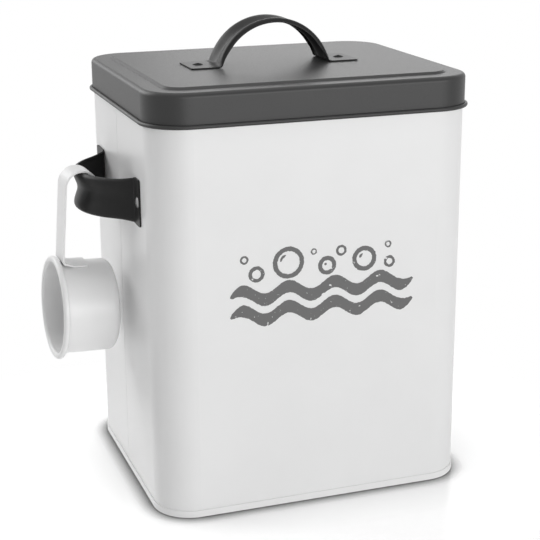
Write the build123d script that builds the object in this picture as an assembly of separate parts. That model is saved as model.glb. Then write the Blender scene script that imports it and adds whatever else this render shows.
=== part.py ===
from build123d import *
import math
import os

# A laundry powder tin: a tall sheet-steel tin with rounded corners, a lift-off lid with a strap handle,
# a strap handle on each side wall, and a small round scoop hooked over the left side handle.
# Millimetres. X runs to the right, Y to the back and Z up. The origin is the centre of the base,
# on the surface that the tin stands on.

# Sheet steel and the fits between folded sheets
sheet = 0.5
seam_fit = 0.05
lid_fit = 0.55
lid_rest_gap = 0.3

# Tin
tin_width = 200.0
tin_depth = 170.0
tin_corner_radius = 23.5
closed_height = 260.0
hem_gap = 0.4
hem_length = 6.0
seam_band_width = 7.0
seam_line_width = 0.5
seam_line_depth = 0.2
base_recess = 4.0
base_ring_height = 4.4
base_ring_rounding = 0.4
base_bend_radius = 1.5

# Lid
lid_skirt_depth = 20.4
lid_edge_radius = 2.8
lid_bead_diameter = 2.4
lid_bead_turn = 290.0
panel_inset = 11.9
panel_rise = 1.3
panel_slope = 1.8
panel_bend_radius = 0.7

# Strap handles. A span is the width of the loop where it meets the feet
strap_sheet = 0.9
strap_width = 28.5
strap_bend_radius = 1.6
strap_corner_radius = 1.5
crest_half_spacing = 9.8
groove_depth = 2.4
lip_width = 2.4
lip_depth = 2.7
lip_fade_angle = 19.0
root_stamp_share = 0.38
strap_seat_gap = 0.03
lid_handle_length = 109.0
lid_handle_span = 72.6
lid_handle_rise = 28.6
lid_handle_off_centre = 1.7
side_handle_length = 110.0
side_handle_span = 82.0
side_handle_rise = 28.3
side_handle_end_shift = 3.4
side_handle_below_lid = 49.2
left_handle_sag = 0.4

# Rivets that hold the handles
rivet_pitch = 93.2
rivet_head_diameter = 6.8
rivet_head_height = 1.0
rivet_shank_diameter = 3.2
rivet_hole_clearance = 0.05
rivet_bulb_diameter = 4.8
rivet_bulb_length = 3.0
rivet_dimple_diameter = 1.8
rivet_dimple_depth = 0.4

# Scoop
cup_diameter = 57.8
cup_depth = 36.9
cup_base_radius = 4.6
cup_bead_diameter = 4.0
cup_bead_turn = 280.0
scoop_strip_width = 19.0
scoop_strip_thickness = 1.1
hook_radius = 9.5
hook_tail_length = 5.0
hook_rest_gap = 0.2
scoop_bar_length = 49.0
scoop_bend_radius = 1.4
scoop_tab_length = 13.0
tab_form_length = 5.0
tab_weld_gap = 0.25
bead_to_bar_gap = 0.5
scoop_lean_angle = 4.6
cup_droop_angle = 2.15
scoop_turn_angle = 2.4
hook_off_centre = 1.5
hook_forward = 0.9


def tin_path():
    """Closed path round the tin's outer face, from the middle of the right-hand side."""
    x, y, r = tin_width / 2, tin_depth / 2, tin_corner_radius
    edges = [
        Line((x, 0), (x, y - r)),
        CenterArc((x - r, y - r), r, 0, 90),
        Line((x - r, y), (r - x, y)),
        CenterArc((r - x, y - r), r, 90, 90),
        Line((-x, y - r), (-x, r - y)),
        CenterArc((r - x, r - y), r, 180, 90),
        Line((r - x, -y), (x - r, -y)),
        CenterArc((x - r, r - y), r, 270, 90),
        Line((x, r - y), (x, 0)),
    ]
    return Wire(edges)


def run_round(outline):
    """Sweep an outline round the tin. Its x is the distance out from the tin's face, its y is height."""
    section = Pos(tin_width / 2, 0, 0) * Plane.XZ * outline
    return sweep(sections=section, path=tin_path())


def rounded_plate(inset, thickness, z):
    """A flat plate that ends the given distance inside the tin's outer face."""
    outline = RectangleRounded(tin_width - 2 * inset, tin_depth - 2 * inset, tin_corner_radius - inset)
    return Pos(0, 0, z) * extrude(outline, thickness)


def turn(point, centre, angle):
    """The point turned about a centre in the plane, in degrees."""
    a = math.radians(angle)
    dx, dy = point[0] - centre[0], point[1] - centre[1]
    return (centre[0] + dx * math.cos(a) - dy * math.sin(a), centre[1] + dx * math.sin(a) + dy * math.cos(a))


def curl(wall_inside, height, thickness, diameter, sweep_angle, mouth):
    """Outline of a hollow edge bead: the sheet rolls outward from a wall whose inside face is at
    wall_inside. The roll's centre is at the given height, and mouth is +1 if the edge points up."""
    centre = (wall_inside + diameter / 2, height)
    points = []
    for radius in (diameter / 2, diameter / 2 - thickness):
        start = (centre[0] - radius, height)
        middle = turn(start, centre, -mouth * sweep_angle / 2)
        end = turn(start, centre, -mouth * sweep_angle)
        points.append((start, middle, end))
    outer, inner = points
    edges = [ThreePointArc(*outer), Line(outer[2], inner[2]), ThreePointArc(*inner), Line(inner[0], outer[0])]
    return make_face(edges)


# Heights that follow from the sizes above
lid_inside = closed_height - sheet
lid_inner_radius = lid_edge_radius - sheet
hem_radius = sheet + hem_gap / 2
hem_centre_x = -hem_radius
lid_round_x = lid_fit - lid_inner_radius
hem_drop = math.sqrt((lid_inner_radius - lid_rest_gap - hem_radius) ** 2 - (lid_round_x - hem_centre_x) ** 2)
hem_centre_z = lid_inside - lid_inner_radius + hem_drop
panel_top = closed_height + panel_rise
base_floor = base_recess + sheet
rivet_pitch_half = rivet_pitch / 2
lid_handle_x = -lid_handle_off_centre
side_handle_height = closed_height - lid_skirt_depth - side_handle_below_lid


def rivet_drill():
    """A drill for the rivet holes, along Z. It reaches as far each way as a rivet's bulb does."""
    return Cylinder(rivet_shank_diameter / 2 + rivet_hole_clearance, 2 * rivet_bulb_length)


def make_tin_wall():
    """One sheet wrapped round the tin, with a hem folded inward at the top and a lock seam at the left."""
    foot = sheet + seam_fit
    inner_radius = hem_radius - sheet
    hem_foot = hem_centre_z + hem_radius - hem_length
    top = (hem_centre_x, hem_centre_z + hem_radius)
    inner_top = (hem_centre_x, hem_centre_z + inner_radius)
    edges = [
        Line((0, foot), (0, hem_centre_z)),
        ThreePointArc((0, hem_centre_z), top, (-2 * hem_radius, hem_centre_z)),
        Line((-2 * hem_radius, hem_centre_z), (-2 * hem_radius, hem_foot)),
        Line((-2 * hem_radius, hem_foot), (-2 * hem_radius + sheet, hem_foot)),
        Line((-2 * hem_radius + sheet, hem_foot), (-2 * hem_radius + sheet, hem_centre_z)),
        ThreePointArc((-2 * hem_radius + sheet, hem_centre_z), inner_top, (-sheet, hem_centre_z)),
        Line((-sheet, hem_centre_z), (-sheet, foot)),
        Line((-sheet, foot), (0, foot)),
    ]
    wall = run_round(make_face(edges))

    band_foot = base_floor + sheet
    band_top = hem_foot - sheet
    band_x = -tin_width / 2 + sheet
    band = Pos(band_x, 0, band_foot) * Box(
        sheet, seam_band_width, band_top - band_foot, align=(Align.MIN, Align.CENTER, Align.MIN))
    line_foot = base_ring_height + sheet
    line = Pos(-tin_width / 2, seam_band_width / 2, line_foot) * Box(
        2 * seam_line_depth, seam_line_width, hem_centre_z - line_foot, align=(Align.CENTER, Align.CENTER, Align.MIN))
    wall = wall + band - line
    for side in (-1, 1):
        for y in (-rivet_pitch_half, rivet_pitch_half):
            wall -= Pos(side * tin_width / 2, y, side_handle_height) * Rot(0, 90, 0) * rivet_drill()
    return wall


def make_tin_base():
    """The bottom panel, set up inside the wall, and the ring that folds under and round the wall's edge."""
    outside = seam_fit + sheet
    inside = -sheet - outside
    r = base_ring_rounding
    b = base_bend_radius
    panel_edge = inside - 2 * b
    edges = [
        Line((outside, r), (outside, base_ring_height)),
        Line((outside, base_ring_height), (seam_fit, base_ring_height)),
        Line((seam_fit, base_ring_height), (seam_fit, sheet)),
        Line((seam_fit, sheet), (-sheet - seam_fit, sheet)),
        Line((-sheet - seam_fit, sheet), (-sheet - seam_fit, base_floor - b)),
        RadiusArc((-sheet - seam_fit, base_floor - b), (-sheet - seam_fit - b, base_floor), -b),
        Line((-sheet - seam_fit - b, base_floor), (panel_edge, base_floor)),
        Line((panel_edge, base_floor), (panel_edge, base_recess)),
        Line((panel_edge, base_recess), (-sheet - seam_fit - b, base_recess)),
        RadiusArc((-sheet - seam_fit - b, base_recess), (inside, base_floor - b), b - sheet),
        Line((inside, base_floor - b), (inside, r)),
        RadiusArc((inside, r), (inside + r, 0), -r),
        Line((inside + r, 0), (outside - r, 0)),
        RadiusArc((outside - r, 0), (outside, r), -r),
    ]
    ring = run_round(make_face(edges))
    return ring + rounded_plate(-panel_edge, sheet, base_recess)


def make_lid_shell():
    """The lid, drawn from one sheet: raised top panel, rounded edge, skirt and a bead curled outward."""
    outer = lid_fit + sheet
    bead_z = closed_height - lid_skirt_depth + lid_bead_diameter / 2
    foot_x = outer - panel_inset
    head_x = foot_x - panel_slope
    plate_x = head_x - panel_slope
    mitre = sheet * math.tan(math.atan2(panel_rise, panel_slope) / 2)
    tight_bend = panel_bend_radius - sheet
    skin = FilletPolyline(
        (outer, bead_z), (outer, closed_height), (foot_x, closed_height), (head_x, panel_top), (plate_x, panel_top),
        radius=[lid_edge_radius, tight_bend, panel_bend_radius])
    lining = FilletPolyline(
        (lid_fit, bead_z), (lid_fit, lid_inside), (foot_x - mitre, lid_inside),
        (head_x - mitre, panel_top - sheet), (plate_x, panel_top - sheet),
        radius=[lid_inner_radius, panel_bend_radius, tight_bend])
    skirt = [skin, Line(skin @ 1, lining @ 1), lining, Line(lining @ 0, skin @ 0)]
    outline = make_face(Wire(edge for part in skirt for edge in part.edges()))
    outline += curl(lid_fit, bead_z, sheet, lid_bead_diameter, lid_bead_turn, -1)
    shell = run_round(outline) + rounded_plate(-plate_x, sheet, panel_top - sheet)
    for x in (lid_handle_x - rivet_pitch_half, lid_handle_x + rivet_pitch_half):
        shell -= Pos(x, 0, panel_top) * rivet_drill()
    return shell


def strap_profile(u, channel):
    """Point across the strap, from u = -1 to 1. channel is 0 where it is flat and 1 where it is stamped
    to its full section: two crests with a groove between them, and an edge rolled down on each side."""
    lip_length = math.pi / 2 * math.sqrt((lip_width ** 2 + lip_depth ** 2) / 2)
    crest_share = crest_half_spacing / (crest_half_spacing + lip_length)
    side = 1 if u >= 0 else -1
    a = abs(u)
    if a <= crest_share:
        across = crest_half_spacing * a / crest_share
        drop = groove_depth * (1 + math.cos(math.pi * a / crest_share)) / 2
    else:
        roll = math.pi / 2 * (a - crest_share) / (1 - crest_share)
        across = crest_half_spacing + lip_width * math.sin(roll)
        drop = lip_depth * (1 - math.cos(roll))
    flat = a * strap_width / 2
    return side * (flat + channel * (across - flat)), -channel * drop


def strap_section(channel):
    """The strap's section as a face in the XY plane: x across the strap, y outward, outer skin at y = 0."""
    half_count = 10
    nudge = 0.01
    outer, inner = [], []
    for i in range(-half_count, half_count + 1):
        u = i / half_count
        before = strap_profile(max(u - nudge, -1), channel)
        after = strap_profile(min(u + nudge, 1), channel)
        along = Vector(after[0] - before[0], after[1] - before[1]).normalized()
        point = Vector(*strap_profile(u, channel))
        outer.append(point)
        inner.append(point + Vector(along.Y, -along.X) * strap_sheet)
    edges = [Spline(*outer), Line(outer[-1], inner[-1]), Spline(*inner), Line(inner[0], outer[0])]
    return make_face(edges)


def loop_radius(span, rise):
    """Radius of a strap's loop over its crests, from its width at the feet and its rise."""
    height = rise - strap_sheet
    return ((span / 2) ** 2 + height ** 2) / (2 * height)


def make_foot(start, end):
    """The flat foot of a strap, from start to end along X, with its rivet hole."""
    outline = Pos((start + end) / 2, 0, 0) * Rectangle(end - start, strap_width)
    outer_corners = outline.vertices().group_by(Axis.X)[-1]
    foot = extrude(fillet(outer_corners, strap_corner_radius), strap_sheet)
    return foot - Pos(rivet_pitch_half, 0, 0) * rivet_drill()


def make_strap(length, span, rise, sag, end_shift):
    """A strap handle on the XY plane: X along it, Z outward. Its loop is one round arc between two flat
    feet, and its stamped section fades out towards each foot. The loop's crest hangs down towards -Y
    by sag. Both ends of the strap lie further towards +X by end_shift."""
    radius = loop_radius(span, rise)
    centre_z = rise - radius
    bend = strap_bend_radius
    bend_z = strap_sheet + bend
    bend_x = math.sqrt((radius + bend) ** 2 - (bend_z - centre_z) ** 2)
    root_angle = math.degrees(math.atan2(bend_x, bend_z - centre_z))
    full_angle = root_angle - lip_fade_angle
    sag_angle = math.degrees(math.atan2(sag, rise))
    root_sag_share = 0.5
    fade_count = 12
    bend_count = 8

    def placed(angle, x, z, sag_share, channel):
        """The strap's section at a point of its outer skin, where the loop has turned by the angle."""
        a = math.radians(angle)
        along = Vector(math.cos(a), 0, -math.sin(a))
        lean = sag_angle * sag_share
        plane = Plane(origin=(x, 0, z), x_dir=(0, 1, 0), z_dir=along)
        return Rot(lean, 0, 0) * (plane * (Rot(0, 0, -lean) * strap_section(channel)))

    sections = []
    for i in range(fade_count + 1):
        share = i / fade_count
        angle = full_angle + share * lip_fade_angle
        x = radius * math.sin(math.radians(angle))
        z = centre_z + radius * math.cos(math.radians(angle))
        channel = math.cos(math.acos(root_stamp_share) * share)
        sections.append(placed(angle, x, z, 1 - (1 - root_sag_share) * share, channel))
    for i in range(1, bend_count + 1):
        share = i / bend_count
        angle = root_angle * (1 - share)
        x = bend_x - bend * math.sin(math.radians(angle))
        z = bend_z - bend * math.cos(math.radians(angle))
        sections.append(placed(angle, x, z, root_sag_share * (1 - share), root_stamp_share * (1 - share) ** 2))
    root = loft(sections, ruled=True)

    hung = Vector(0, math.cos(math.radians(sag_angle)), math.sin(math.radians(sag_angle)))
    axis = Axis((0, -centre_z * hung.Z, centre_z * hung.Y), hung)
    arch = revolve(sections[0], axis, -2 * full_angle)
    right_foot = make_foot(bend_x, length / 2 + end_shift)
    left_foot = mirror(make_foot(bend_x, length / 2 - end_shift), Plane.YZ)
    return arch + root + right_foot + mirror(root, Plane.YZ) + left_foot


def make_rivet(grip):
    """A blind rivet along Z: domed head above z = 0, shank through the grip, and the bulb behind it."""
    head_r = rivet_head_diameter / 2
    dome_radius = (head_r ** 2 + rivet_head_height ** 2) / (2 * rivet_head_height)
    dome = Pos(0, 0, rivet_head_height - dome_radius) * Sphere(dome_radius)
    head = dome & Cylinder(head_r, rivet_head_height, align=(Align.CENTER, Align.CENTER, Align.MIN))
    shank = Cylinder(rivet_shank_diameter / 2, grip, align=(Align.CENTER, Align.CENTER, Align.MAX))
    bulb = Pos(0, 0, -grip) * Cylinder(
        rivet_bulb_diameter / 2, rivet_bulb_length, align=(Align.CENTER, Align.CENTER, Align.MAX))
    bulb = fillet(bulb.edges().group_by(Axis.Z)[0], rivet_bulb_diameter / 4)
    dimple = Pos(0, 0, rivet_head_height) * Cylinder(rivet_dimple_diameter / 2, 2 * rivet_dimple_depth)
    return head + shank + bulb - dimple


def make_rivet_pair():
    """The two rivets of one strap handle, in the strap's own frame."""
    rivet = make_rivet(strap_sheet + strap_seat_gap + sheet)
    places = (-rivet_pitch_half, rivet_pitch_half)
    return Compound([(Pos(x, 0, strap_sheet) * rivet).solid() for x in places])


def strap_frame(side):
    """The frame of a side handle: Z outward from the wall, Y upward. X runs to the back of the tin on the
    right-hand wall and to the front on the left-hand one."""
    x = side * (tin_width / 2 + strap_seat_gap)
    return Plane(origin=(x, 0, side_handle_height), x_dir=(0, side, 0), z_dir=(side, 0, 0))


def make_side_handle(side, sag):
    """The strap handle of one side wall. Its ends are set towards the back of the tin."""
    end_shift = side * side_handle_end_shift
    return make_strap(side_handle_length, side_handle_span, side_handle_rise, sag, end_shift)


def make_scoop_cup():
    """The scoop's drawn cup, with its axis along Z, its base on z = 0 and a bead curled out at the mouth."""
    r = cup_diameter / 2
    c = cup_base_radius
    bead_z = cup_depth - cup_bead_diameter / 2
    edges = [
        Line((0, 0), (r - c, 0)),
        RadiusArc((r - c, 0), (r, c), -c),
        Line((r, c), (r, bead_z)),
        Line((r, bead_z), (r - sheet, bead_z)),
        Line((r - sheet, bead_z), (r - sheet, c)),
        RadiusArc((r - sheet, c), (r - c, sheet), c - sheet),
        Line((r - c, sheet), (0, sheet)),
        Line((0, sheet), (0, 0)),
    ]
    outline = make_face(edges) + curl(r - sheet, bead_z, sheet, cup_bead_diameter, cup_bead_turn, 1)
    return revolve(Plane.XZ * outline, Axis.Z)


def make_scoop_handle():
    """The scoop's strip: hook, straight bar, and a tab bent back and formed to the cup's round wall.
    Its frame has the hook's centre as origin, the bar hanging down at -X and the tab running to +X."""
    t = scoop_strip_thickness
    middle = hook_radius + t / 2
    drop = scoop_bar_length - tab_weld_gap
    bend = scoop_bend_radius + t / 2
    down = math.radians(cup_droop_angle)
    tab_dir = Vector(math.cos(down), 0, math.sin(down))
    bend_turn = 90 + cup_droop_angle
    bend_start = Vector(-middle, 0, -drop + bend + t / 2)
    bend_centre = bend_start + Vector(bend, 0, 0)
    a = math.radians(bend_turn)
    bend_end = bend_centre + Vector(-bend * math.cos(a), 0, -bend * math.sin(a))
    half = math.radians(bend_turn / 2)
    bend_middle = bend_centre + Vector(-bend * math.cos(half), 0, -bend * math.sin(half))
    path = Wire([
        Edge.make_line((middle, 0, -hook_tail_length), (middle, 0, 0)),
        Edge.make_three_point_arc((middle, 0, 0), (0, 0, middle), (-middle, 0, 0)),
        Edge.make_line((-middle, 0, 0), bend_start),
        Edge.make_three_point_arc(bend_start, bend_middle, bend_end),
    ])
    start = Plane(origin=(middle, 0, -hook_tail_length), x_dir=(0, 1, 0), z_dir=(0, 0, 1))
    strip = sweep(sections=start * Rectangle(scoop_strip_width, t), path=path)

    flat = Plane(origin=bend_end, x_dir=(0, 1, 0), z_dir=tab_dir)
    formed = Plane(origin=bend_end + tab_dir * tab_form_length, x_dir=(0, 1, 0), z_dir=tab_dir)
    wall = cup_diameter / 2 + tab_weld_gap
    tab_face = formed * saddle_section(wall, t)
    blend = loft([flat * Rectangle(scoop_strip_width, t), tab_face])
    rest = scoop_tab_length - tab_form_length
    tab = extrude(tab_face, rest, dir=tab_dir)
    return strip + blend + tab


def saddle_section(radius, thickness):
    """Section of a strip formed to a round wall below it. The origin is mid-thickness over the crest."""
    outer_radius = radius + thickness
    lean = math.asin(scoop_strip_width / 2 / outer_radius)
    centre = -radius - thickness / 2

    def at(r, angle):
        return (r * math.sin(angle), centre + r * math.cos(angle))

    edges = [
        ThreePointArc(at(outer_radius, -lean), at(outer_radius, 0), at(outer_radius, lean)),
        Line(at(outer_radius, lean), at(radius, lean)),
        ThreePointArc(at(radius, lean), at(radius, 0), at(radius, -lean)),
        Line(at(radius, -lean), at(outer_radius, -lean)),
    ]
    return make_face(edges)


def cup_frame():
    """The cup's frame beside the strip: base centre, axis towards the mouth."""
    droop = math.radians(cup_droop_angle)
    to_mouth = Vector(-math.cos(droop), 0, -math.sin(droop))
    up = Vector(-math.sin(droop), 0, math.cos(droop))
    tab_middle = Vector(-hook_radius, 0, -scoop_bar_length) - to_mouth * (scoop_tab_length / 2)
    from_base = cup_depth - cup_bead_diameter - bead_to_bar_gap - scoop_strip_thickness - scoop_tab_length / 2
    base_centre = tab_middle - up * (cup_diameter / 2) - to_mouth * from_base
    return Plane(origin=base_centre, x_dir=up, z_dir=to_mouth)


def scoop_place():
    """Where the scoop hangs: its hook over the top edge of the left handle's loop."""
    curve_back = (scoop_strip_width / 2) ** 2 / (2 * loop_radius(side_handle_span, side_handle_rise))
    lip_x = -tin_width / 2 - strap_seat_gap - (side_handle_rise - lip_depth - curve_back)
    lip_z = side_handle_height + crest_half_spacing + lip_width - left_handle_sag
    arch_height = math.sqrt(hook_radius ** 2 - hook_off_centre ** 2)
    hook_z = lip_z + hook_rest_gap - arch_height
    turned = Rot(0, 0, scoop_turn_angle) * Rot(0, scoop_lean_angle, 0)
    return Pos(lip_x - hook_off_centre, -hook_forward, hook_z) * turned


lid_frame = Plane(origin=(lid_handle_x, 0, panel_top + strap_seat_gap), x_dir=(1, 0, 0), z_dir=(0, 0, 1))
nodes = {
    "tin_wall": make_tin_wall(),
    "tin_base": make_tin_base(),
    "left_handle": strap_frame(-1) * make_side_handle(-1, left_handle_sag),
    "right_handle": strap_frame(1) * make_side_handle(1, 0),
    "left_handle_rivets": strap_frame(-1) * make_rivet_pair(),
    "right_handle_rivets": strap_frame(1) * make_rivet_pair(),
    "lid_shell": make_lid_shell(),
    "lid_handle": lid_frame * make_strap(lid_handle_length, lid_handle_span, lid_handle_rise, 0, 0),
    "lid_handle_rivets": lid_frame * make_rivet_pair(),
    "scoop_cup": scoop_place() * (cup_frame() * make_scoop_cup()),
    "scoop_handle": scoop_place() * make_scoop_handle(),
}

os.makedirs("parts", exist_ok=True)
for name, shape in nodes.items():
    export_step(shape, f"parts/{name}.step")
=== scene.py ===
import math
import bmesh
import bpy
from mathutils import Matrix, Vector, noise


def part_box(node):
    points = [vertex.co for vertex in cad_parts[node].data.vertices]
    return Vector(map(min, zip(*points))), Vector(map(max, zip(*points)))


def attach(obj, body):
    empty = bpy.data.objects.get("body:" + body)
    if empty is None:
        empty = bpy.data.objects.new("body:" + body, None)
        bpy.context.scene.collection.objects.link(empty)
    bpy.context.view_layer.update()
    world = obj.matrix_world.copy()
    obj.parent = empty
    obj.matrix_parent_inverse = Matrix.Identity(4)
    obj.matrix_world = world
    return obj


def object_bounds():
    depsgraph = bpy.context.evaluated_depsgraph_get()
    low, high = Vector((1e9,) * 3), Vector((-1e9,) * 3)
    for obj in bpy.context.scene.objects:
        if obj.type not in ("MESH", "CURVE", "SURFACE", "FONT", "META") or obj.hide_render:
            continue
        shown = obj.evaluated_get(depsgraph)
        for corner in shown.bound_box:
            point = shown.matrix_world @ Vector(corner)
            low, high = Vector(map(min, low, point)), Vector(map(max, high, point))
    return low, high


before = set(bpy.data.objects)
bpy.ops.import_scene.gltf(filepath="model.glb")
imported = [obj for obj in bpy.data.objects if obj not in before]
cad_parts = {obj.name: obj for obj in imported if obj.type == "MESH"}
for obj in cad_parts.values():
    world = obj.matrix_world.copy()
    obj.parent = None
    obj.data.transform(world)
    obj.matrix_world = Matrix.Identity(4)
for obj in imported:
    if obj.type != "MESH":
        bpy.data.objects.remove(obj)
cad_low, cad_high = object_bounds()

# Camera, fitted to the edges of the tin. Angles in degrees and lengths in metres, apart from the width of
# the sensor in millimetres and the width of the image and the focal length in pixels.
camera_azimuth = -19.272
camera_elevation = 16.953
camera_roll = -0.326
camera_distance = 0.91498
camera_target = Vector((0, 0, 0.120))
camera_slide = (-0.001798, 0.004594)
sensor_width = 36.0
image_width = 540
focal_pixels = 1392.814

# Lamps: where they stand, what they point at, the width and height of their light in metres, and watts.
# The fill is the grey level of the light from all round.
lamps = {
    "key": dict(place=(0.40, -1.52, 0.32), aim=(0, 0, 0.15), width=1.5, height=0.6, watts=12.2),
    "side": dict(place=(-0.90, 1.00, 0.85), aim=(0, 0, 0.10), width=1.2, height=0.8, watts=10.5),
    "over": dict(place=(0, 0, 1.80), aim=(0, 0, 0), width=1.6, height=1.6, watts=7.0),
    "back": dict(place=(0.70, 1.30, 0.72), aim=(0, 0, 0.26), width=0.9, height=0.5, watts=2.0),
}
sky_fill = 0.28

# Floor: half its width, its white as it lights the tin, its white to the camera, and its roughness
floor_reach = 6.0
floor_bounce = 0.9
camera_white = 1.55
floor_roughness = 0.2

# Painted shades on the floor beside the tin, shown to the camera only over the real shadow from the lamps:
# a soft painted shadow and a dark painted line of contact. Each takes the floor down to its tone where the
# tin hides shade_cover of the sky within its reach.
shadow_reach = 0.050
shadow_tone = 0.72
contact_reach = 0.011
contact_tone = 0.0
shade_cover = 0.5

# Distances from the tin between which the floor gives way to the white behind it. They start from the
# tin's box, drawn in by box_inset at its sides, where only the handles and the scoop reach further.
fade_near = 0.008
fade_far = 0.11
box_inset = 0.02

# Levels of the neutral colours, linear
enamel_white = 0.80
scoop_white = 0.83
lid_grey = 0.022
strap_black = 0.016
ink_grey = 0.115
rivet_dark = 0.255
rivet_light = 0.30

# Paints: how far the tone wanders, the gloss, the roughness and how far that wanders, then the size and
# height of the orange peel and of the grain in metres, and how strongly the specks show
paints = {
    "white_enamel": dict(level=enamel_white, tone=0.012, shine=0.50, roughness=0.34, spread=0.05,
                         peel=0.0016, peel_height=10e-6, grain=0.00050, grain_height=2e-6),
    "scoop_enamel": dict(level=scoop_white, tone=0.020, shine=0.50, roughness=0.38, spread=0.05,
                         peel=0.0014, peel_height=12e-6, grain=0.00050, grain_height=3e-6),
    "grey_paint": dict(level=lid_grey, tone=0.060, shine=0.40, roughness=0.43, spread=0.07,
                       peel=0.0011, peel_height=12e-6, grain=0.00035, grain_height=8e-6, specks=0.35),
    "black_paint": dict(level=strap_black, tone=0.060, shine=0.16, roughness=0.40, spread=0.06,
                        peel=0.0012, peel_height=10e-6, grain=0.00040, grain_height=6e-6),
    "dull_black": dict(level=strap_black, tone=0.060, shine=0.10, roughness=0.60, spread=0.05,
                       peel=0.0012, peel_height=10e-6, grain=0.00040, grain_height=6e-6),
}
painted_nodes = {
    "white_enamel": ("tin_wall", "tin_base"),
    "scoop_enamel": ("scoop_cup", "scoop_handle"),
    "grey_paint": ("lid_shell",),
    "black_paint": ("left_handle", "right_handle", "lid_handle"),
    "dull_black": ("lid_handle_rivets",),
}

# Size of the broad changes of tone, and the levels between which noise mostly lies
tone_size = 0.045
noise_levels = (0.3, 0.7)

# Specks: their spacing, the shares of it from a speck's middle over which it fades, and how much of the
# paint's level is left in it
speck_spacing = 0.0022
speck_fade = (0.10, 0.22)
speck_shade = 0.45

# Bright rivets: their nodes, the size of the turning marks, and the roughness across those
rivet_nodes = ("left_handle_rivets", "right_handle_rivets")
mark_size = 0.0004
rivet_roughness = (0.28, 0.42)

# Wear of the ink: chips and pinholes, with the noise levels between which each breaks through
ink_roughness = 0.5
chip_size = 0.0045
chip_levels = (0.665, 0.680)
pinhole_size = 0.0011
pinhole_levels = (0.735, 0.750)
pinhole_strength = 0.8

# Print on the front face: bubbles over two waves. Metres, in the plane of the face. Its outline wanders by
# up to ragged_edge over each ragged_size, with other noise up and down than across.
print_left = -0.0565
print_right = 0.0609
print_bottom = 0.118
print_step = 0.0006
ink_thickness = 0.00006
ink_gap = 0.00003
ragged_edge = 0.00035
ragged_size = 0.0011
ragged_apart = Vector((0, 7.3, 0))

# Waves: their tips are drawn in over the taper, down to a share of the band
wave_count = 4
wave_height = 0.0034
wave_band = 0.0078
wave_spacing = 0.0125
wave_taper = 0.010
wave_tip = 0.05

# Bubbles: middle across, middle up and radius, then the width of a ring, which takes no more than a share
# of the radius, and the least number of steps round it
bubbles = [
    (-0.0200, 0.1558, 0.0098),
    (0.0285, 0.1535, 0.0078),
    (0.0045, 0.1516, 0.0058),
    (-0.0400, 0.1506, 0.0050),
    (0.0135, 0.1600, 0.0034),
    (0.0450, 0.1500, 0.0036),
    (-0.0475, 0.1600, 0.0026),
    (0.0440, 0.1610, 0.0022),
    (-0.0040, 0.1610, 0.0020),
]
bubble_line = 0.0028
bubble_line_share = 0.45
bubble_steps = 24

# Glint inside each bubble over this radius: its inset and width in widths of the ring, where it starts and
# how far it turns in degrees, and what is left of it at its tips
glint_bubble = 0.0056
glint_inset = 1.7
glint_width = 0.5
glint_start = 110
glint_turn = 60
glint_steps = 12
glint_tip = 0.0001


def grey(level):
    """A neutral colour."""
    return (level, level, level, 1)


def shader_node(tree, kind, inputs=None, **settings):
    """A shader node with its plain properties set, and each input set to a value or linked to an output."""
    node = tree.nodes.new(kind)
    for name, value in settings.items():
        setattr(node, name, value)
    for name, value in (inputs or {}).items():
        if isinstance(value, bpy.types.NodeSocket):
            tree.links.new(value, node.inputs[name])
        else:
            node.inputs[name].default_value = value
    return node


def new_material(name):
    """A material with an empty node tree."""
    material = bpy.data.materials.new(name)
    material.use_nodes = True
    material.node_tree.nodes.clear()
    return material, material.node_tree


def show(tree, shader):
    """Make a shader the material's surface."""
    shader_node(tree, "ShaderNodeOutputMaterial", {"Surface": shader})


def noise_value(tree, place, size, detail, roughness):
    """Noise with features of about the given size in metres."""
    inputs = {"Vector": place, "Scale": 1 / size, "Detail": detail, "Roughness": roughness}
    return shader_node(tree, "ShaderNodeTexNoise", inputs).outputs["Fac"]


def map_range(tree, value, levels, results):
    """Stretch a value from between two levels to between two results, and clamp it there."""
    inputs = {"Value": value, "From Min": levels[0], "From Max": levels[1],
              "To Min": results[0], "To Max": results[1]}
    return shader_node(tree, "ShaderNodeMapRange", inputs).outputs["Result"]


def tone_ramp(tree, value, dark, light):
    """A grey that goes from dark to light over the levels that noise mostly takes."""
    node = shader_node(tree, "ShaderNodeValToRGB", {"Fac": value})
    for element, position, level in zip(node.color_ramp.elements, noise_levels, (dark, light)):
        element.position = position
        element.color = grey(level)
    return node.outputs["Color"]


def combine(tree, operation, first, second):
    """A math operation on two values."""
    return shader_node(tree, "ShaderNodeMath", {0: first, 1: second}, operation=operation).outputs["Value"]


def combine_vectors(tree, operation, first, second):
    """A math operation on two vectors."""
    node = shader_node(tree, "ShaderNodeVectorMath", {0: first, 1: second}, operation=operation)
    return node.outputs["Vector"]


def mix_colours(tree, share, first, second):
    """The first colour at a share of 0, and the second at 1."""
    inputs = {"Factor": share, "A": first, "B": second}
    return shader_node(tree, "ShaderNodeMix", inputs, data_type="RGBA").outputs["Result"]


def mix_shaders(tree, share, first, second):
    """The first shader at a share of 0, and the second at 1."""
    return shader_node(tree, "ShaderNodeMixShader", {"Fac": share, 1: first, 2: second}).outputs["Shader"]


def bump(tree, inputs):
    """Small rises of the surface by a height and a distance, over those in its normal if it has one."""
    return shader_node(tree, "ShaderNodeBump", {"Strength": 1.0, **inputs}).outputs["Normal"]


def principled(tree, inputs):
    """The shader of every surface that isn't see-through."""
    return shader_node(tree, "ShaderNodeBsdfPrincipled", inputs).outputs["BSDF"]


def looked_at(tree):
    """1 for what the camera sees, directly or in a reflection or through glass, and otherwise 0."""
    rays = shader_node(tree, "ShaderNodeLightPath").outputs
    mirrored = combine(tree, "MAXIMUM", rays["Is Glossy Ray"], rays["Is Transmission Ray"])
    return combine(tree, "MAXIMUM", rays["Is Camera Ray"], mirrored)


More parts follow.
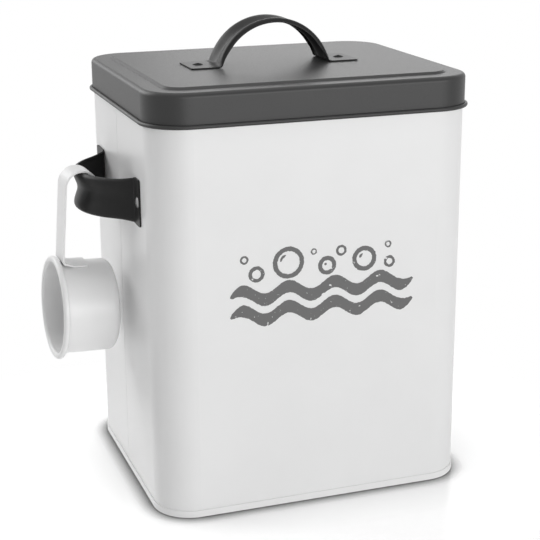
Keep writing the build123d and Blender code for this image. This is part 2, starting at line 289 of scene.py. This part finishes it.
def paint(name, level, tone, shine, roughness, spread, peel, peel_height, grain, grain_height, specks=0.0):
    """Sprayed paint on sheet steel: broad tone changes, an orange-peel surface, fine grain and specks."""
    material, tree = new_material(name)
    place = shader_node(tree, "ShaderNodeTexCoord").outputs["Object"]
    broad = noise_value(tree, place, tone_size, detail=3.0, roughness=0.55)
    base = tone_ramp(tree, broad, level * (1 - tone), level * (1 + tone))
    if specks:
        dots = shader_node(tree, "ShaderNodeTexVoronoi", {"Vector": place, "Scale": 1 / speck_spacing})
        mask = map_range(tree, dots.outputs["Distance"], speck_fade, (specks, 0.0))
        base = mix_colours(tree, mask, base, grey(level * speck_shade))
    fine = noise_value(tree, place, grain, detail=2.0, roughness=0.6)
    rough = map_range(tree, fine, noise_levels, (roughness - spread, roughness + spread))
    skin = noise_value(tree, place, peel, detail=1.0, roughness=0.4)
    peeled = bump(tree, {"Height": skin, "Distance": peel_height})
    grained = bump(tree, {"Height": fine, "Distance": grain_height, "Normal": peeled})
    show(tree, principled(tree, {"Base Color": base, "Roughness": rough, "Specular IOR Level": shine,
                                 "Normal": grained}))
    return material


def rivet_metal():
    """Plain rivet metal with fine turning marks."""
    material, tree = new_material("rivet_metal")
    place = shader_node(tree, "ShaderNodeTexCoord").outputs["Object"]
    marks = noise_value(tree, place, mark_size, detail=3.0, roughness=0.6)
    base = tone_ramp(tree, marks, rivet_dark, rivet_light)
    rough = map_range(tree, marks, noise_levels, rivet_roughness)
    show(tree, principled(tree, {"Base Color": base, "Metallic": 1.0, "Roughness": rough}))
    return material


def ink():
    """Screen-printed grey ink with worn chips and pinholes where the enamel shows."""
    material, tree = new_material("ink")
    place = shader_node(tree, "ShaderNodeTexCoord").outputs["Object"]
    chips = noise_value(tree, place, chip_size, detail=5.0, roughness=0.62)
    chip_mask = map_range(tree, chips, chip_levels, (0.0, 1.0))
    pinholes = noise_value(tree, place, pinhole_size, detail=2.0, roughness=0.5)
    pinhole_mask = map_range(tree, pinholes, pinhole_levels, (0.0, pinhole_strength))
    worn = combine(tree, "MAXIMUM", chip_mask, pinhole_mask)
    base = mix_colours(tree, worn, grey(ink_grey), grey(enamel_white))
    show(tree, principled(tree, {"Base Color": base, "Roughness": ink_roughness}))
    return material


def shade_beside(tree, reach, tone, white):
    """The floor's white, taken down to a tone as painted shade where the tin hides much of the sky within
    its reach.
    """
    sky = shader_node(tree, "ShaderNodeAmbientOcclusion", {"Distance": reach}).outputs["AO"]
    return map_range(tree, sky, (1 - shade_cover, 1.0), (tone, white))


def away_from_tin(tree):
    """0 on the floor close to the tin and 1 well away from it."""
    place = shader_node(tree, "ShaderNodeNewGeometry").outputs["Position"]
    outward = shader_node(tree, "ShaderNodeVectorMath", {0: place}, operation="ABSOLUTE").outputs["Vector"]
    half_box = (cad_high.x - box_inset, cad_high.y, 0)
    beyond = combine_vectors(tree, "SUBTRACT", outward, half_box)
    outside = combine_vectors(tree, "MAXIMUM", beyond, (0, 0, 0))
    distance = shader_node(tree, "ShaderNodeVectorMath", {0: outside}, operation="LENGTH").outputs["Value"]
    return map_range(tree, distance, (fade_near, fade_far), (0.0, 1.0))


def floor_white():
    """White that keeps the tin's shadow from the lamps, with painted shade beside the tin added for the
    camera. To the camera it is brighter, so that only the shadow close to the tin shows, and further off it
    gives way to the white behind it."""
    material, tree = new_material("floor_white")
    rays = shader_node(tree, "ShaderNodeLightPath").outputs
    seen = looked_at(tree)
    # Painted shade beside the tin, a soft painted shadow and a dark painted line of contact, shown to the
    # camera only
    shadow = shade_beside(tree, shadow_reach, shadow_tone * camera_white, camera_white)
    contact = shade_beside(tree, contact_reach, contact_tone, 1.0)
    shade = combine(tree, "MULTIPLY", shadow, contact)
    direct = mix_colours(tree, rays["Is Camera Ray"], grey(camera_white), shade)
    base = mix_colours(tree, seen, grey(floor_bounce), direct)
    white = principled(tree, {"Base Color": base, "Roughness": floor_roughness})
    clear = shader_node(tree, "ShaderNodeBsdfTransparent", {"Color": grey(1)}).outputs["BSDF"]
    faded = combine(tree, "MULTIPLY", away_from_tin(tree), seen)
    show(tree, mix_shaders(tree, faded, white, clear))
    return material


def make_floor():
    """The floor that the tin stands on."""
    mesh = bpy.data.meshes.new("floor")
    corners = [(-floor_reach, -floor_reach, 0), (floor_reach, -floor_reach, 0),
               (floor_reach, floor_reach, 0), (-floor_reach, floor_reach, 0)]
    mesh.from_pydata(corners, [], [(0, 1, 2, 3)])
    mesh.materials.append(floor_white())
    floor = bpy.data.objects.new("floor", mesh)
    bpy.context.scene.collection.objects.link(floor)


def make_world():
    """White to the camera and in reflections, and a plain grey fill light on everything else."""
    world = bpy.data.worlds.new("studio")
    bpy.context.scene.world = world
    world.use_nodes = True
    tree = world.node_tree
    tree.nodes.clear()
    fill = shader_node(tree, "ShaderNodeBackground", {"Color": grey(sky_fill)}).outputs["Background"]
    white = shader_node(tree, "ShaderNodeBackground", {"Color": grey(1)}).outputs["Background"]
    both = mix_shaders(tree, looked_at(tree), fill, white)
    shader_node(tree, "ShaderNodeOutputWorld", {"Surface": both})


def make_camera():
    """The camera at the photo's place and angle."""
    azimuth = math.radians(camera_azimuth)
    elevation = math.radians(camera_elevation)
    roll = math.radians(camera_roll)
    flat = math.cos(elevation)
    back = Vector((math.sin(azimuth) * flat, -math.cos(azimuth) * flat, math.sin(elevation)))
    right = Vector((0, 0, 1)).cross(back).normalized()
    up = back.cross(right)
    across = right * math.cos(roll) + up * math.sin(roll)
    over = up * math.cos(roll) - right * math.sin(roll)
    place = camera_target + back * camera_distance + across * camera_slide[0] + over * camera_slide[1]
    data = bpy.data.cameras.new("camera")
    data.sensor_width = sensor_width
    data.lens = sensor_width * focal_pixels / image_width
    camera = bpy.data.objects.new("camera", data)
    bpy.context.scene.collection.objects.link(camera)
    turned = Matrix((across, over, back)).transposed().to_4x4()
    camera.matrix_world = Matrix.Translation(place) @ turned
    bpy.context.scene.camera = camera


def add_lamp(name, place, aim, width, height, watts):
    """A soft rectangular lamp that points at a place."""
    data = bpy.data.lights.new(name, "AREA")
    data.shape = "RECTANGLE"
    data.size = width
    data.size_y = height
    data.energy = watts
    lamp = bpy.data.objects.new(name, data)
    bpy.context.scene.collection.objects.link(lamp)
    direction = Vector(aim) - Vector(place)
    lamp.rotation_euler = direction.to_track_quat("-Z", "Y").to_euler()
    lamp.location = place


def solid_from(bm, name, material, body):
    """Finish a mesh built in the print's plane as an object that rides on a body."""
    bmesh.ops.recalc_face_normals(bm, faces=bm.faces)
    mesh = bpy.data.meshes.new(name)
    bm.to_mesh(mesh)
    bm.free()
    piece = bpy.data.objects.new(name, mesh)
    bpy.context.scene.collection.objects.link(piece)
    mesh.materials.append(material)
    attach(piece, body)


def ragged(x, z):
    """A point of the print's outline, moved a little as worn ink edges are."""
    at = Vector((x / ragged_size, 0.0, z / ragged_size))
    shift_x = noise.noise(at) * ragged_edge
    shift_z = noise.noise(at + ragged_apart) * ragged_edge
    return x + shift_x, z + shift_z


def add_ribbon(bm, sides, face_y, closed=False):
    """A flat strip of ink between two edges, given as pairs of (x, z) points."""
    back = face_y - ink_gap
    front = back - ink_thickness
    rows = []
    for first, second in sides:
        (ax, az), (bx, bz) = ragged(*first), ragged(*second)
        corners = ((ax, front, az), (bx, front, bz), (bx, back, bz), (ax, back, az))
        rows.append([bm.verts.new(corner) for corner in corners])
    pairs = list(zip(rows, rows[1:]))
    if closed:
        pairs.append((rows[-1], rows[0]))
    for here, there in pairs:
        for i in range(len(here)):
            j = (i + 1) % len(here)
            bm.faces.new((here[i], here[j], there[j], there[i]))
    if not closed:
        bm.faces.new(rows[0])
        bm.faces.new(rows[-1])


def print_wave(face_y, height, name, material):
    """One wave across the print, tapered at both ends."""
    bm = bmesh.new()
    span = print_right - print_left
    steps = round(span / print_step)
    sides = []
    for i in range(steps + 1):
        x = print_left + span * i / steps
        z = height + wave_height * math.sin(2 * math.pi * wave_count * (x - print_left) / span)
        from_end = min(x - print_left, print_right - x)
        half = wave_band / 2 * min(1.0, math.sqrt(from_end / wave_taper) + wave_tip)
        sides.append(((x, z - half), (x, z + half)))
    add_ribbon(bm, sides, face_y)
    solid_from(bm, name, material, "tin")


def around(x, z, radius, angle):
    """The point at an angle on a circle."""
    return x + radius * math.cos(angle), z + radius * math.sin(angle)


def add_glint(bm, face_y, x, z, radius, line):
    """A curved glint inside a bubble's ring, widest at its middle."""
    middle = radius - glint_inset * line
    sides = []
    for i in range(glint_steps + 1):
        angle = math.radians(glint_start + glint_turn * i / glint_steps)
        bulge = math.sin(math.pi * (i + 1) / (glint_steps + 2))
        half = line * glint_width / 2 * bulge + glint_tip
        sides.append((around(x, z, middle + half, angle), around(x, z, middle - half, angle)))
    add_ribbon(bm, sides, face_y)


def print_bubble(face_y, x, z, radius, name, material):
    """One bubble: a ring, with a glint inside it if it is large."""
    bm = bmesh.new()
    line = min(bubble_line, radius * bubble_line_share)
    steps = max(bubble_steps, round(2 * math.pi * radius / print_step))
    sides = []
    for i in range(steps):
        angle = 2 * math.pi * i / steps
        sides.append((around(x, z, radius, angle), around(x, z, radius - line, angle)))
    add_ribbon(bm, sides, face_y, closed=True)
    if radius > glint_bubble:
        add_glint(bm, face_y, x, z, radius, line)
    solid_from(bm, name, material, "tin")


def make_print():
    """The printed pattern on the tin's front face."""
    face_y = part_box("tin_wall")[0].y
    material = ink()
    low = print_bottom + wave_height + wave_band / 2
    print_wave(face_y, low, "print_wave_low", material)
    print_wave(face_y, low + wave_spacing, "print_wave_high", material)
    for i, (x, z, radius) in enumerate(bubbles):
        print_bubble(face_y, x, z, radius, f"print_bubble_{i + 1}", material)


def dress(nodes, material):
    """Give some CAD nodes their material."""
    for node in nodes:
        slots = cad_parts[node].data.materials
        slots.clear()
        slots.append(material)


def main():
    """The camera and the studio first, then the finish of every node, then the print."""
    make_camera()
    make_world()
    make_floor()
    for name, settings in lamps.items():
        add_lamp(name, **settings)
    for name, settings in paints.items():
        dress(painted_nodes[name], paint(name, **settings))
    dress(rivet_nodes, rivet_metal())
    make_print()


bpy.context.scene.view_settings.view_transform = "Standard"
main()
